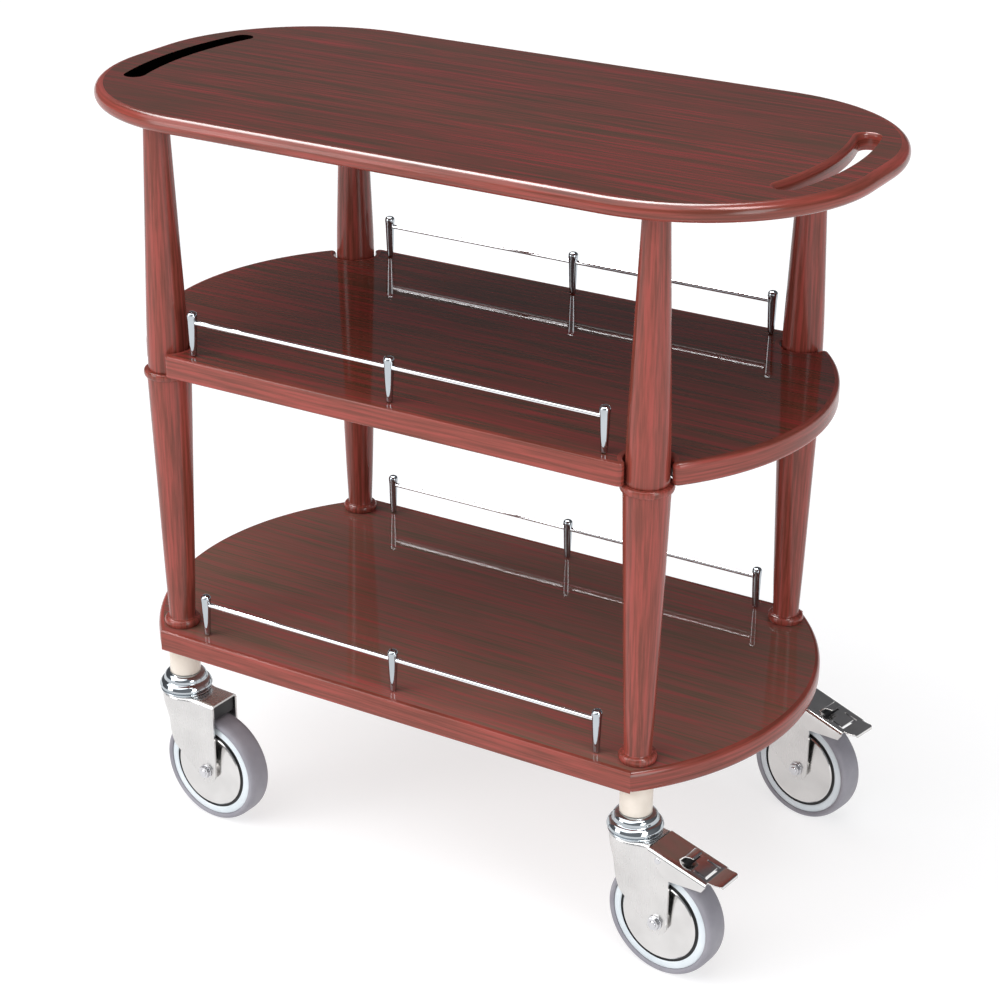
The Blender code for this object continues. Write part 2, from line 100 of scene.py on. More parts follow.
PEDAL_SHEET = 0.0015
PEDAL_HALF = 0.0217

CORNERS = {
    "front_left": (-1, -1, -4.0, False),
    "front_right": (1, -1, -7.0, True),
    "rear_left": (-1, 1, -6.0, False),
    "rear_right": (1, 1, -12.0, True),
}
LEG_SEGMENTS = 64
POST_SEGMENTS = 32
WHEEL_SEGMENTS = 96


# ---------------------------------------------------------------- materials
ACROSS_GRAIN = 330.0              # noise stretch that gives fine lines
ALONG_GRAIN = 9.0
ACROSS_FIGURE = 34.0
ALONG_FIGURE = 2.0
LACQUER_IOR = 1.5


def grey(value):
    return (value, value, value, 1.0)


def srgb(red, green, blue):
    """Linear colour, with alpha, of a display colour given as 0-255."""
    linear = []
    for value in (red, green, blue):
        share = value / 255
        linear.append(share / 12.92 if share <= 0.04045 else ((share + 0.055) / 1.055) ** 2.4)
    return (*linear, 1.0)


class Look:
    """A procedural material under construction."""

    def __init__(self, name):
        self.material = bpy.data.materials.new(name)
        self.material.use_nodes = True
        self.tree = self.material.node_tree
        self.shader = self.tree.nodes["Principled BSDF"]
        self.place = self.node("ShaderNodeTexCoord").outputs["Object"]

    def node(self, kind):
        return self.tree.nodes.new(kind)

    def join(self, source, target):
        self.tree.links.new(source, target)

    def values(self, **settings):
        """Constants on the shader's own sockets; underscores stand for spaces."""
        for name, value in settings.items():
            self.shader.inputs[name.replace("_", " ")].default_value = value

    def noise(self, scale, stretch=(1.0, 1.0, 1.0), detail=3.0, roughness=0.55, distortion=0.0):
        mapping = self.node("ShaderNodeMapping")
        mapping.inputs["Scale"].default_value = stretch
        self.join(self.place, mapping.inputs["Vector"])
        texture = self.node("ShaderNodeTexNoise")
        texture.inputs["Scale"].default_value = scale
        texture.inputs["Detail"].default_value = detail
        texture.inputs["Roughness"].default_value = roughness
        texture.inputs["Distortion"].default_value = distortion
        self.join(mapping.outputs["Vector"], texture.inputs["Vector"])
        return texture.outputs["Fac"]

    def ramp(self, fac, stops):
        """stops: (position, colour) pairs, at least two."""
        node = self.node("ShaderNodeValToRGB")
        elements = node.color_ramp.elements
        while len(elements) < len(stops):
            elements.new(0.5)
        for element, (position, colour) in zip(elements, stops):
            element.position = position
            element.color = colour
        self.join(fac, node.inputs["Fac"])
        return node.outputs["Color"]

    def blend(self, fac, first, second, mode="MIX"):
        node = self.node("ShaderNodeMix")
        node.data_type = "RGBA"
        node.blend_type = mode
        if isinstance(fac, float):
            node.inputs[0].default_value = fac
        else:
            self.join(fac, node.inputs[0])
        self.join(first, node.inputs[6])
        self.join(second, node.inputs[7])
        return node.outputs[2]

    def colour(self, source):
        self.join(source, self.shader.inputs["Base Color"])

    def gloss(self, fac, low, high, target="Roughness"):
        spread = self.node("ShaderNodeMapRange")
        spread.inputs["To Min"].default_value = low
        spread.inputs["To Max"].default_value = high
        self.join(fac, spread.inputs["Value"])
        self.join(spread.outputs["Result"], self.shader.inputs[target])

    def bump(self, fac, depth, strength=1.0):
        node = self.node("ShaderNodeBump")
        node.inputs["Distance"].default_value = depth
        node.inputs["Strength"].default_value = strength
        self.join(fac, node.inputs["Height"])
        self.join(node.outputs["Normal"], self.shader.inputs["Normal"])


def laminate(name, dark, middle, red):
    """Glossy striped veneer: fine lines and long red streaks that run along X."""
    look = Look(name)
    lines = look.noise(1.0, (ALONG_GRAIN, ACROSS_GRAIN, 60.0), detail=2.0, roughness=0.5)
    streaks = look.noise(1.0, (4.0, 95.0, 20.0), detail=3.0, roughness=0.6, distortion=0.1)
    clouds = look.noise(1.0, (1.6, 5.0, 3.0), detail=1.0)
    fine = look.ramp(lines, [(0.42, dark), (0.50, middle), (0.55, middle), (0.61, red)])
    broad = look.ramp(streaks, [(0.42, dark), (0.52, middle), (0.64, red)])
    mixed = look.blend(0.40, fine, broad)
    shade = look.ramp(clouds, [(0.35, grey(0.88)), (0.65, grey(1.0))])
    look.colour(look.blend(1.0, mixed, shade, "MULTIPLY"))
    look.values(Coat_Weight=1.0, Coat_IOR=LACQUER_IOR, Specular_IOR_Level=0.0)
    look.gloss(lines, 0.35, 0.5)
    look.gloss(clouds, 0.035, 0.055, "Coat Roughness")
    look.bump(lines, 0.00002, 0.25)
    return look.material


def solid_wood(name, along, dark, middle, light):
    """Lacquered hardwood; along names the axes that the grain follows, such as "Z" or "XY"."""
    look = Look(name)
    stretch = [ALONG_GRAIN if axis in along else ACROSS_GRAIN for axis in "XYZ"]
    coarse = [ALONG_FIGURE if axis in along else ACROSS_FIGURE for axis in "XYZ"]
    grain = look.noise(1.0, stretch, detail=4.0, roughness=0.6)
    figure = look.noise(1.0, coarse, detail=3.0, roughness=0.55, distortion=0.4)
    fine = look.ramp(grain, [(0.37, dark), (0.5, middle), (0.63, light)])
    broad = look.ramp(figure, [(0.3, dark), (0.5, middle), (0.7, light)])
    look.colour(look.blend(0.30, fine, broad))
    look.values(Coat_Weight=0.8, Coat_IOR=LACQUER_IOR, Specular_IOR_Level=0.0)
    look.gloss(grain, 0.32, 0.5)
    look.gloss(figure, 0.16, 0.22, "Coat Roughness")
    look.bump(grain, 0.00004, 0.35)
    return look.material


def metal(name, tint, smoothness, along_z=True):
    """Bare metal: slight cloudiness in tone and fine marks in its polish."""
    look = Look(name)
    stretch = (420.0, 420.0, 30.0) if along_z else (300.0, 300.0, 300.0)
    brush = look.noise(1.0, stretch, detail=3.0)
    clouds = look.noise(24.0, detail=2.0)
    darker = tuple(value * 0.9 for value in tint[:3]) + (1.0,)
    look.colour(look.ramp(clouds, [(0.35, darker), (0.65, tint)]))
    look.values(Metallic=1.0)
    look.gloss(brush, smoothness * 0.8, smoothness * 1.25)
    look.bump(brush, 0.00001, 0.25)
    return look.material


def moulded(name, low, high, roughness, grain=900.0, depth=0.00003, shine=0.5):
    """Plastic or rubber: a little colour drift and a fine surface texture."""
    look = Look(name)
    drift = look.noise(30.0, detail=3.0)
    texture = look.noise(grain, detail=2.0)
    look.colour(look.ramp(drift, [(0.3, low), (0.7, high)]))
    look.values(Specular_IOR_Level=shine)
    look.gloss(texture, roughness * 0.85, roughness * 1.15)
    look.bump(texture, depth, 0.5)
    return look.material


def make_finishes():
    dark, middle, red = srgb(86, 59, 43), srgb(114, 59, 48), srgb(148, 54, 52)
    wood = (srgb(100, 50, 38), srgb(130, 62, 51), srgb(158, 70, 62))
    return {
        "laminate": laminate("striped_laminate", dark, middle, red),
        # painted light: a lighter copy of the same striped laminate, for the lower shelf, so that
        # it reads brighter than the top and middle shelf
        "lower_laminate_painted_light": laminate("striped_laminate_painted_light", srgb(110, 86, 70),
                                   srgb(134, 86, 76), srgb(160, 76, 72)),
        "wood_band": solid_wood("lacquered_edge_band", "XY", *wood),
        "wood_leg": solid_wood("lacquered_turned_leg", "Z", *wood),
        # painted shade: a near-black lining for the left handle slot, where the hole shows only
        # shade; the right slot's lining is the wood of the band
        "painted_shade_lining": moulded("slot_lining_painted_shade", (0.0012, 0.0006, 0.0006, 1.0),
                               (0.0025, 0.0012, 0.0012, 1.0), 0.9, shine=0.0),
        "chrome": metal("polished_chrome", (0.84, 0.85, 0.87, 1.0), 0.06),
        # painted shade: a darker copy of the rails' chrome, for the posts and swivel races, so that
        # they read darker
        "shade_painted_chrome": metal("polished_chrome_painted_shade", (0.50, 0.54, 0.57, 1.0), 0.07),
        "stainless": metal("satin_stainless", (0.68, 0.67, 0.66, 1.0), 0.26),
        "bright_stainless": metal("bright_stainless", (0.70, 0.69, 0.68, 1.0), 0.14),
        "steel": metal("zinc_plated_steel", (0.66, 0.66, 0.68, 1.0), 0.22, along_z=False),
        "cream": moulded("satin_cream_sleeve", srgb(214, 202, 188), srgb(232, 222, 210), 0.10),
        "rubber": moulded("grey_rubber", srgb(130, 128, 136), srgb(146, 144, 151), 0.55,
                          grain=1400.0, depth=0.00008),
        "wheel_ring": moulded("bluish_white_plastic", srgb(202, 211, 216), srgb(220, 226, 230),
                              0.3),
        "black": moulded("black_plastic", srgb(9, 9, 11), srgb(20, 20, 24), 0.45),
    }


FINISHES = make_finishes()


# ---------------------------------------------------------------- geometry helpers
def rounded(corners, steps=4, closed=True):
    """Polyline through (x, y, cut) corners, each corner eased over that cut length."""
    points = []
    count = len(corners)
    for i, (x, y, cut) in enumerate(corners):
        at = Vector((x, y))
        if cut == 0.0 or (not closed and i in (0, count - 1)):
            points.append((x, y))
            continue
        before = Vector(corners[i - 1][:2]) - at
        after = Vector(corners[(i + 1) % count][:2]) - at
        start = at + before.normalized() * min(cut, 0.49 * before.length)
        end = at + after.normalized() * min(cut, 0.49 * after.length)
        for k in range(steps + 1):
            t = k / steps
            point = start * (1 - t) ** 2 + at * (2 * t * (1 - t)) + end * t ** 2
            points.append((point.x, point.y))
    return points


def arc(centre, radius, start, end, steps):
    """Points on an arc, both ends included; angles in radians."""
    points = []
    for i in range(steps + 1):
        angle = start + (end - start) * i / steps
        points.append((centre[0] + radius * math.cos(angle),
                       centre[1] + radius * math.sin(angle)))
    return points


def turned(profile, segments, tags=None):
    """Turn (radius, height) points about Z; tags give a material index per profile edge."""
    bm = bmesh.new()
    rings = []
    for radius, height in profile:
        if radius == 0.0:
            rings.append([bm.verts.new((0.0, 0.0, height))] * segments)
            continue
        rings.append([bm.verts.new((radius * math.cos(math.tau * i / segments),
                                    radius * math.sin(math.tau * i / segments), height))
                      for i in range(segments)])
    on_axis = profile[0][0] == 0.0
    pairs = list(zip(rings, rings[1:]))
    if not on_axis:
        pairs.append((rings[-1], rings[0]))
    for k, (ring, following) in enumerate(pairs):
        for i in range(segments):
            j = (i + 1) % segments
            corners = []
            for vert in (ring[i], ring[j], following[j], following[i]):
                if vert not in corners:
                    corners.append(vert)
            if len(corners) < 3:
                continue
            face = bm.faces.new(corners)
            if tags:
                face.material_index = tags[min(k, len(tags) - 1)]
    return bm


def grid(columns, closed=False, skip=lambda i, j: False):
    """A sheet from columns of 3-D points, all of one length."""
    bm = bmesh.new()
    made = [[bm.verts.new(point) for point in column] for column in columns]
    pairs = list(zip(made, made[1:]))
    if closed:
        pairs.append((made[-1], made[0]))
    for i, (column, following) in enumerate(pairs):
        for j in range(len(column) - 1):
            if not skip(i, j):
                bm.faces.new((column[j], following[j], following[j + 1], column[j + 1]))
    bmesh.ops.remove_doubles(bm, verts=bm.verts, dist=0.000001)
    return bm


def prism(outline, bottom, top):
    """Straight extrusion of an outline along Z."""
    bm = bmesh.new()
    face = bm.faces.new([bm.verts.new((x, y, bottom)) for x, y in outline])
    result = bmesh.ops.extrude_face_region(bm, geom=[face])
    moved = [item for item in result["geom"] if isinstance(item, bmesh.types.BMVert)]
    bmesh.ops.translate(bm, verts=moved, vec=(0.0, 0.0, top - bottom))
    return bm


def merged(*parts):
    """Join several bmeshes into the first."""
    scratch = bpy.data.meshes.new("scratch")
    whole = parts[0]
    for part in parts[1:]:
        part.to_mesh(scratch)
        whole.from_mesh(scratch)
        part.free()
    bpy.data.meshes.remove(scratch)
    return whole


def moved(bm, matrix):
    bmesh.ops.transform(bm, matrix=matrix, verts=bm.verts)
    return bm


def add_piece(name, bm, finishes, body, replaced=(), place=None, bevel=0.0,
              thickness=0.0, sharp=35):
    """A finished piece in world metres, riding on its body."""
    bmesh.ops.recalc_face_normals(bm, faces=bm.faces)
    if place:
        moved(bm, place)
    mesh = bpy.data.meshes.new(name)
    bm.to_mesh(mesh)
    bm.free()
    mesh.shade_smooth()
    mesh.set_sharp_from_angle(angle=math.radians(sharp))
    for finish in finishes:
        mesh.materials.append(FINISHES[finish])
    obj = bpy.data.objects.new(name, mesh)
    bpy.context.scene.collection.objects.link(obj)
    if thickness:
        solidify = obj.modifiers.new("thickness", "SOLIDIFY")
        solidify.thickness = thickness
        solidify.offset = 0.0
    if bevel:
        edges = obj.modifiers.new("eased_edges", "BEVEL")
        edges.width = bevel
        edges.segments = 2
        edges.limit_method = "ANGLE"
        edges.angle_limit = math.radians(sharp)
        edges.harden_normals = True
    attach(obj, body)
    if replaced:
        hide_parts(*replaced)
    return obj


# ---------------------------------------------------------------- outlines in plan
MIDDLE_END_STEPS = 24
MIDDLE_FILLET_STEPS = 6
MIDDLE_NOTCH_STEPS = 20
LOWER_END_STEPS = 30
# place of each mitre, in points from the end's crown
MIDDLE_MITRE = MIDDLE_END_STEPS + MIDDLE_FILLET_STEPS + MIDDLE_NOTCH_STEPS // 2
LOWER_MITRE = LOWER_END_STEPS


def four_way(quarter):
    """Mirror a quarter outline (x > 0, y > 0, from the +X end to the +Y side)."""
    outline = quarter + [(-x, y) for x, y in reversed(quarter)]
    return outline + [(-x, -y) for x, y in outline]


def top_outline(inset):
    centre = (TOP_HALF_LENGTH - TOP_CORNER_RADIUS, TOP_HALF_WIDTH - TOP_CORNER_RADIUS)
    return four_way(arc(centre, TOP_CORNER_RADIUS - inset, 0.0, math.pi / 2, 40))


def lower_outline(inset):
    centre_x = LOWER_CROWN - LOWER_END_RADIUS
    radius = LOWER_END_RADIUS - inset
    corner_angle = math.asin((LOWER_HALF_WIDTH - inset) / radius)
    return four_way(arc((centre_x, 0.0), radius, corner_angle / (2 * LOWER_END_STEPS), corner_angle,
                        LOWER_END_STEPS))


def middle_outline(inset):
    centre_x = MIDDLE_CROWN - MIDDLE_END_RADIUS
    end_radius = MIDDLE_END_RADIUS - inset
    notch = NOTCH_RADIUS + inset
    fillet = max(NOTCH_FILLET - inset, SHARPEST_FILLET)
    side = MIDDLE_HALF_WIDTH - inset
    gap_x, gap_y = LEG_X - centre_x, LEG_Y
    distance = math.hypot(gap_x, gap_y)
    from_end = end_radius - fillet
    from_notch = notch + fillet
    along = (distance ** 2 + from_end ** 2 - from_notch ** 2) / (2 * distance)
    across = math.sqrt(from_end ** 2 - along ** 2)
    unit_x, unit_y = gap_x / distance, gap_y / distance
    end_fillet = (centre_x + along * unit_x + across * unit_y,
                  along * unit_y - across * unit_x)
    side_fillet_y = side - fillet
    side_fillet = (LEG_X - math.sqrt(from_notch ** 2 - (side_fillet_y - LEG_Y) ** 2),
                   side_fillet_y)

    def bearing(start, target):
        return math.atan2(target[1] - start[1], target[0] - start[0])

    leg = (LEG_X, LEG_Y)
    end_angle = bearing((centre_x, 0.0), end_fillet)
    notch_start = bearing(leg, end_fillet) % math.tau
    notch_end = bearing(leg, side_fillet) % math.tau
    quarter = arc((centre_x, 0.0), end_radius, end_angle / (2 * MIDDLE_END_STEPS), end_angle,
                  MIDDLE_END_STEPS)
    quarter += arc(end_fillet, fillet, end_angle, notch_start - math.pi,
                   MIDDLE_FILLET_STEPS)[1:]
    quarter += arc(leg, notch, notch_start, notch_end, MIDDLE_NOTCH_STEPS)[1:]
    quarter += arc(side_fillet, fillet, notch_end - math.pi, math.pi / 2,
                   MIDDLE_FILLET_STEPS)[1:]
    return four_way(quarter)


def slot_outline(side, outset):
    """Handle slot: a curved band with round ends; the lip is widest towards the middle."""
    centre_x = SLOT_CROWN - SLOT_RADIUS
    far = SLOT_RADIUS + SLOT_WIDTH / 2 + outset * OUTER_LIP_SHARE
    near = SLOT_RADIUS - SLOT_WIDTH / 2 - outset
    middle_radius, half = (far + near) / 2, (far - near) / 2
    outer = arc((centre_x, 0.0), far, -SLOT_HALF_ANGLE, SLOT_HALF_ANGLE, 28)
    inner = arc((centre_x, 0.0), near, SLOT_HALF_ANGLE, -SLOT_HALF_ANGLE, 28)

    def cap(angle, first):
        middle = (centre_x + middle_radius * math.cos(angle), middle_radius * math.sin(angle))
        return arc(middle, half, first, first + math.pi, 16)[1:-1]

    points = outer + cap(SLOT_HALF_ANGLE, SLOT_HALF_ANGLE)
    points += inner + cap(-SLOT_HALF_ANGLE, math.pi - SLOT_HALF_ANGLE)
    return [(side * x, y) for x, y in points]


# ---------------------------------------------------------------- top and shelves
def panel_mesh(outlines, bottom, top):
    """A flat board from an outer outline and the outlines of its holes."""
    bm = bmesh.new()
    edges = []
    for outline in outlines:
        verts = [bm.verts.new((x, y, bottom)) for x, y in outline]
        for i, vert in enumerate(verts):
            edges.append(bm.edges.new((vert, verts[(i + 1) % len(verts)])))
    bmesh.ops.triangle_fill(bm, use_beauty=True, use_dissolve=False, edges=edges)
    result = bmesh.ops.extrude_face_region(bm, geom=list(bm.faces))
    lifted = [item for item in result["geom"] if isinstance(item, bmesh.types.BMVert)]
    bmesh.ops.translate(bm, verts=lifted, vec=(0.0, 0.0, top - bottom))
    return bm


def edge_profile(band, thickness, roll_in, roll_down, steps):
    """(inset, depth) from the inner top edge round the nose to the inner bottom edge."""
    points = [(band, 0.0)]
    for i in range(steps + 1):
        angle = math.pi / 2 * i / steps
        points.append((roll_in * (1 - math.sin(angle)), roll_down * (1 - math.cos(angle))))
    for i in range(steps + 1):
        angle = math.pi / 2 * i / steps
        points.append((roll_in * (1 - math.cos(angle)),
                       thickness - roll_down * (1 - math.sin(angle))))
    points.append((band, thickness))
    return points


def band_ring(outline, profile, surface):
    """A closed edge band all the way round."""
    rings = [[(x, y, surface - depth) for x, y in outline(inset)] for inset, depth in profile]
    return grid([list(column) for column in zip(*(rings + rings[:1]))],
                closed=True)


def band_run(outline, profile, surface, first, last):
    """One length of edge band between two mitres, with its end grain closed."""
    rings = []
    for inset, depth in profile:
        points = outline(inset)
        rings.append([(*points[i % len(points)], surface - depth)
                      for i in range(first, last + 1)])
    columns = [list(column) + [column[0]] for column in zip(*rings)]
    bm = grid(columns)
    bmesh.ops.holes_fill(bm, edges=[edge for edge in bm.edges if edge.is_boundary], sides=0)
    return bm


LIP_STEPS = 8
LIP_FOOT = 0.001                  # height of the eased lower edge of a slot's lining


def build_top():
    surface, underside = TOP_SURFACE, TOP_SURFACE - TOP_THICKNESS
    outlines = [top_outline(TOP_BAND)]
    outlines += [slot_outline(side, width) for side, width in SLOT_LIPS.items()]
    add_piece("top_laminate", panel_mesh(outlines, underside + GAP, surface), ["laminate"],
              "trolley_frame", ["top_panel"])
    nose = edge_profile(TOP_BAND, TOP_THICKNESS, *TOP_NOSE_ROLL, 9)
    add_piece("top_bullnose", band_ring(top_outline, nose, surface), ["wood_band"],
              "trolley_frame", ["top_edge_band"])
    # the left slot's lining is near-black painted shade, the right one is the band's wood
    for label, side, finish in (("left", -1, "painted_shade_lining"), ("right", 1, "wood_band")):
        width = SLOT_LIPS[side]
        lip = [(width, 0.0)]
        for i in range(1, LIP_STEPS + 1):
            angle = math.pi / 2 * i / LIP_STEPS
            lip.append((width * (1 - math.sin(angle)), width * (1 - math.cos(angle))))
        lip += [(0.0, TOP_THICKNESS - LIP_FOOT), (width, TOP_THICKNESS)]
        rings = [[(x, y, surface - depth) for x, y in slot_outline(side, outset)]
                 for outset, depth in lip]
        columns = [list(column) + [column[0]] for column in zip(*rings)]
        add_piece(f"handle_slot_lining_{label}", grid(columns, closed=True), [finish],
                  "trolley_frame")


def build_shelf(prefix, outline, surface, mitre, end_roll, finish):
    underside = surface - SHELF_THICKNESS
    panel = panel_mesh([outline(SHELF_BAND)], underside + GAP, surface)
    add_piece(f"{prefix}_laminate", panel, [finish], "trolley_frame",
              [f"{prefix}_panel"])
    side_profile = edge_profile(SHELF_BAND, SHELF_THICKNESS, *SIDE_ROLL, 4)
    end_profile = edge_profile(SHELF_BAND, SHELF_THICKNESS, *end_roll, 7)
    count = len(outline(0.0)) // 4
    corners = (mitre, 2 * count - 1 - mitre, 2 * count + mitre, 4 * count - 1 - mitre,
               4 * count + mitre)
    runs = (("rear", side_profile), ("left_end", end_profile), ("front", side_profile),
            ("right_end", end_profile))
    for k, (label, profile) in enumerate(runs):
        run = band_run(outline, profile, surface, corners[k], corners[k + 1])
        replaced = [f"{prefix}_edge_band"] if label == "front" else ()
        add_piece(f"{prefix}_band_{label}", run, ["wood_band"], "trolley_frame",
                  replaced)


# ---------------------------------------------------------------- legs
def build_legs():
    foot = LOWER_SURFACE + GAP
    bead = MIDDLE_SURFACE - SHELF_THICKNESS - GAP
    head = TOP_SURFACE - TOP_THICKNESS - GAP
    lower = rounded([
        (BORE_RADIUS, foot, 0.0), (0.0186, foot, 0.0008), (0.0202, foot + 0.0040, 0.0040),
        (0.0188, foot + 0.0086, 0.0022), (0.0146, foot + 0.0094, 0.0008),
        (0.0144, foot + 0.0150, 0.0030), (0.0163, foot + 0.0600, 0.0200),
        (0.0190, foot + 0.1500, 0.0300), (0.0236, bead - 0.0080, 0.0006),
        (0.0258, bead - 0.0078, 0.0018), (0.0272, bead - 0.0038, 0.0034),
        (0.0262, bead - 0.0001, 0.0014), (BORE_RADIUS, bead, 0.0)], 6)
    upper = rounded([
        (BORE_RADIUS, bead + GAP, 0.0), (0.0220, bead + GAP, 0.0004),
        (0.0217, MIDDLE_SURFACE + 0.0200, 0.0200), (0.0135, head - 0.0032, 0.0006),
        (0.0176, head - 0.0030, 0.0006), (0.0176, head, 0.0004), (BORE_RADIUS, head, 0.0)], 6)
    for corner, (x_sign, y_sign, _yaw, _brake) in CORNERS.items():
        place = Matrix.Translation((x_sign * LEG_X, y_sign * LEG_Y, 0.0))
        for tier, profile in (("lower", lower), ("upper", upper)):
            add_piece(f"turned_{tier}_leg_{corner}", turned(profile, LEG_SEGMENTS), ["wood_leg"],
                      "trolley_frame", [f"{tier}_leg_{corner}"], place)


# ---------------------------------------------------------------- gallery rails
def build_rail(tier, side, surface, y):
    height = surface + RAIL_HEIGHT
    end = POST_X
    rod = rounded([(0.0, -end, 0.0), (RAIL_RADIUS, -end, 0.0010), (RAIL_RADIUS, end, 0.0010),
                   (0.0, end, 0.0)], 4, closed=False)
    lay_down = Matrix.Translation((0.0, y, height)) @ Matrix.Rotation(math.pi / 2, 4, "Y")
    add_piece(f"rail_rod_{tier}_{side}", turned(rod, POST_SEGMENTS), ["chrome"],
              "trolley_frame", [f"gallery_rail_{tier}_{side}"], lay_down)
    post = rounded([
        (0.0, GAP, 0.0), (0.0034, GAP, 0.0020), (0.0044, 0.0160, 0.0100),
        (0.0052, 0.0400, 0.0040), (0.0057, 0.0440, 0.0014), (0.0055, 0.0468, 0.0014),
        (0.0036, POST_HEIGHT - 0.0002, 0.0016), (0.0, POST_HEIGHT, 0.0)], 5, closed=False)
    for label, x in (("left", -POST_X), ("centre", 0.0), ("right", POST_X)):
        place = Matrix.Translation((x, y, surface))
        # the posts take the chrome copy with painted shade
        add_piece(f"post_{tier}_{side}_{label}", turned(post, POST_SEGMENTS), ["shade_painted_chrome"],
                  "trolley_frame", [f"gallery_post_{tier}_{side}_{label}"], place)


# ---------------------------------------------------------------- casters
def smoothstep(value):
    value = min(max(value, 0.0), 1.0)
    return value * value * (3 - 2 * value)


def interpolate(table, at):
    """Piecewise-linear value at a position of a rising (position, value) table."""
    if at <= table[0][0]:
        return table[0][1]
    for (x0, y0), (x1, y1) in zip(table, table[1:]):
        if at <= x1:
            return y0 + (y1 - y0) * (at - x0) / (x1 - x0)
    return table[-1][1]


# fork: x runs along the sheet from the swivel axis, z up from the floor
FOOT_RADIUS = 0.0140              # round end of a cheek, about the axle
FOOT_START = 0.0290
HEAD_FLARE = 0.0062               # how far the head stands out from the cheeks
FLARE_START = 0.104
FLARE_HEIGHT = 0.040
HEAD_BLEND_END = 0.028
HEAD_BLEND_LENGTH = 0.024
BEND = 0.0032                     # radius of the bend into the crown plate
BEND_ANGLES = (22.5, 45.0, 67.5, 90.0)
BRAKE_PLATE_END = 0.0305
PLAIN_PLATE_END = 0.0555
FORK_ROWS = 10
# bottom and top of the black block between the cheeks, over the tyre
BLACK_BLOCK_BOTTOM = 0.1296
BLACK_BLOCK_TOP = 0.1462
HEEL = [                          # lower edge of the fork: position along the sheet, height
    (-0.0322, 0.1390), (-0.0272, 0.1370), (-0.0240, 0.1240), (-0.0215, 0.1150),
    (-0.0125, 0.1000), (-0.0036, 0.0850), (0.0290, 0.0585),
]


def fork_sheet(brake):
    """The pressed fork: two cheeks that run into a round head, bent over into the crown."""
    middle = CHEEK_OUTER - SHEET / 2
    shoulder = CROWN_TOP - SHEET / 2 - BEND
    plate_end = BRAKE_PLATE_END if brake else PLAIN_PLATE_END
    slope_top = [(BRAKE_PLATE_END, shoulder), (0.0440, 0.1433), (0.0555, 0.1375),
                 (0.0600, 0.1350)]

    def lower_edge(along):
        if along > FOOT_START:
            drop = FOOT_RADIUS ** 2 - (along - TRAIL) ** 2
            return WHEEL_RADIUS - math.sqrt(max(drop, 0.0))
        return interpolate(HEEL, along)

    straight = [TRAIL + (FOOT_RADIUS - 0.0003) * math.cos(math.radians(a))
                for a in range(0, 160, 12)]
    straight += [0.0270, 0.0230, 0.0190, 0.0150, 0.0110, 0.0070, 0.0030, 0.0]
    straight.append(BRAKE_PLATE_END)
    straight = sorted(set(straight), reverse=True)
    stations = [(x, 0.0) for x in straight]
    stations += [(0.0, math.radians(a)) for a in range(6, 91, 6)]

    def flared(z, near_head):
        return middle + HEAD_FLARE * near_head * smoothstep((z - FLARE_START) / FLARE_HEIGHT)

    def column(x, turn, side):
        along = x if turn == 0.0 else -middle * turn
        top = interpolate(slope_top, x) if brake and x > BRAKE_PLATE_END else shoulder
        bottom = min(lower_edge(along), top - 0.001)
        near_head = 1.0
        if not turn:
            near_head = smoothstep((HEAD_BLEND_END - x) / HEAD_BLEND_LENGTH)
        points = []
        for j in range(FORK_ROWS + 1):
            z = bottom + (top - bottom) * j / FORK_ROWS
            reach = flared(z, near_head)
            points.append((x - reach * math.sin(turn), side * reach * math.cos(turn), z))
        full = flared(top, near_head)
        for degrees in BEND_ANGLES:
            angle = math.radians(degrees)
            reach = full - BEND * (1 - math.cos(angle))
            points.append((x - reach * math.sin(turn), side * reach * math.cos(turn),
                           top + BEND * math.sin(angle)))
        points.append((x, 0.0, top + BEND))
        return points

    columns = [column(x, turn, -1) for x, turn in stations]
    columns += [column(x, turn, 1) for x, turn in reversed(stations[:-1])]
    flat_from = [x for x, _turn in stations]
    flat_from += list(reversed(flat_from[:-1]))

    def no_plate(i, j):
        ahead = max(flat_from[i], flat_from[i + 1]) > plate_end + 0.0001
        return j >= FORK_ROWS and ahead

    return grid(columns, skip=no_plate)


def build_fork(corner, brake, place):
    body = f"swivel_{corner}"
    add_piece(f"pressed_fork_{corner}", fork_sheet(brake), ["stainless"], body,
              [f"caster_fork_{corner}"], place, bevel=0.0005, thickness=SHEET, sharp=50)
    if not brake:
        # casters without a brake get a black block between the cheeks, over the tyre
        block = rounded([(0.0060, -0.0172, 0.003), (0.0535, -0.0172, 0.001),
                         (0.0535, 0.0172, 0.001), (0.0060, 0.0172, 0.003)], 3)
        add_piece(f"fork_black_block_{corner}", prism(block, BLACK_BLOCK_BOTTOM, BLACK_BLOCK_TOP), ["black"], body,
                  (), place, bevel=0.0006)


WASHER_RADIUS = 0.0080
WASHER_THICKNESS = 0.0012
NUT_RADIUS = 0.0072
NUT_BOTTOM = 0.0010
NUT_TOP = 0.0048
STUD_SHOULDER = 0.0062
STUD_TIP = 0.0064


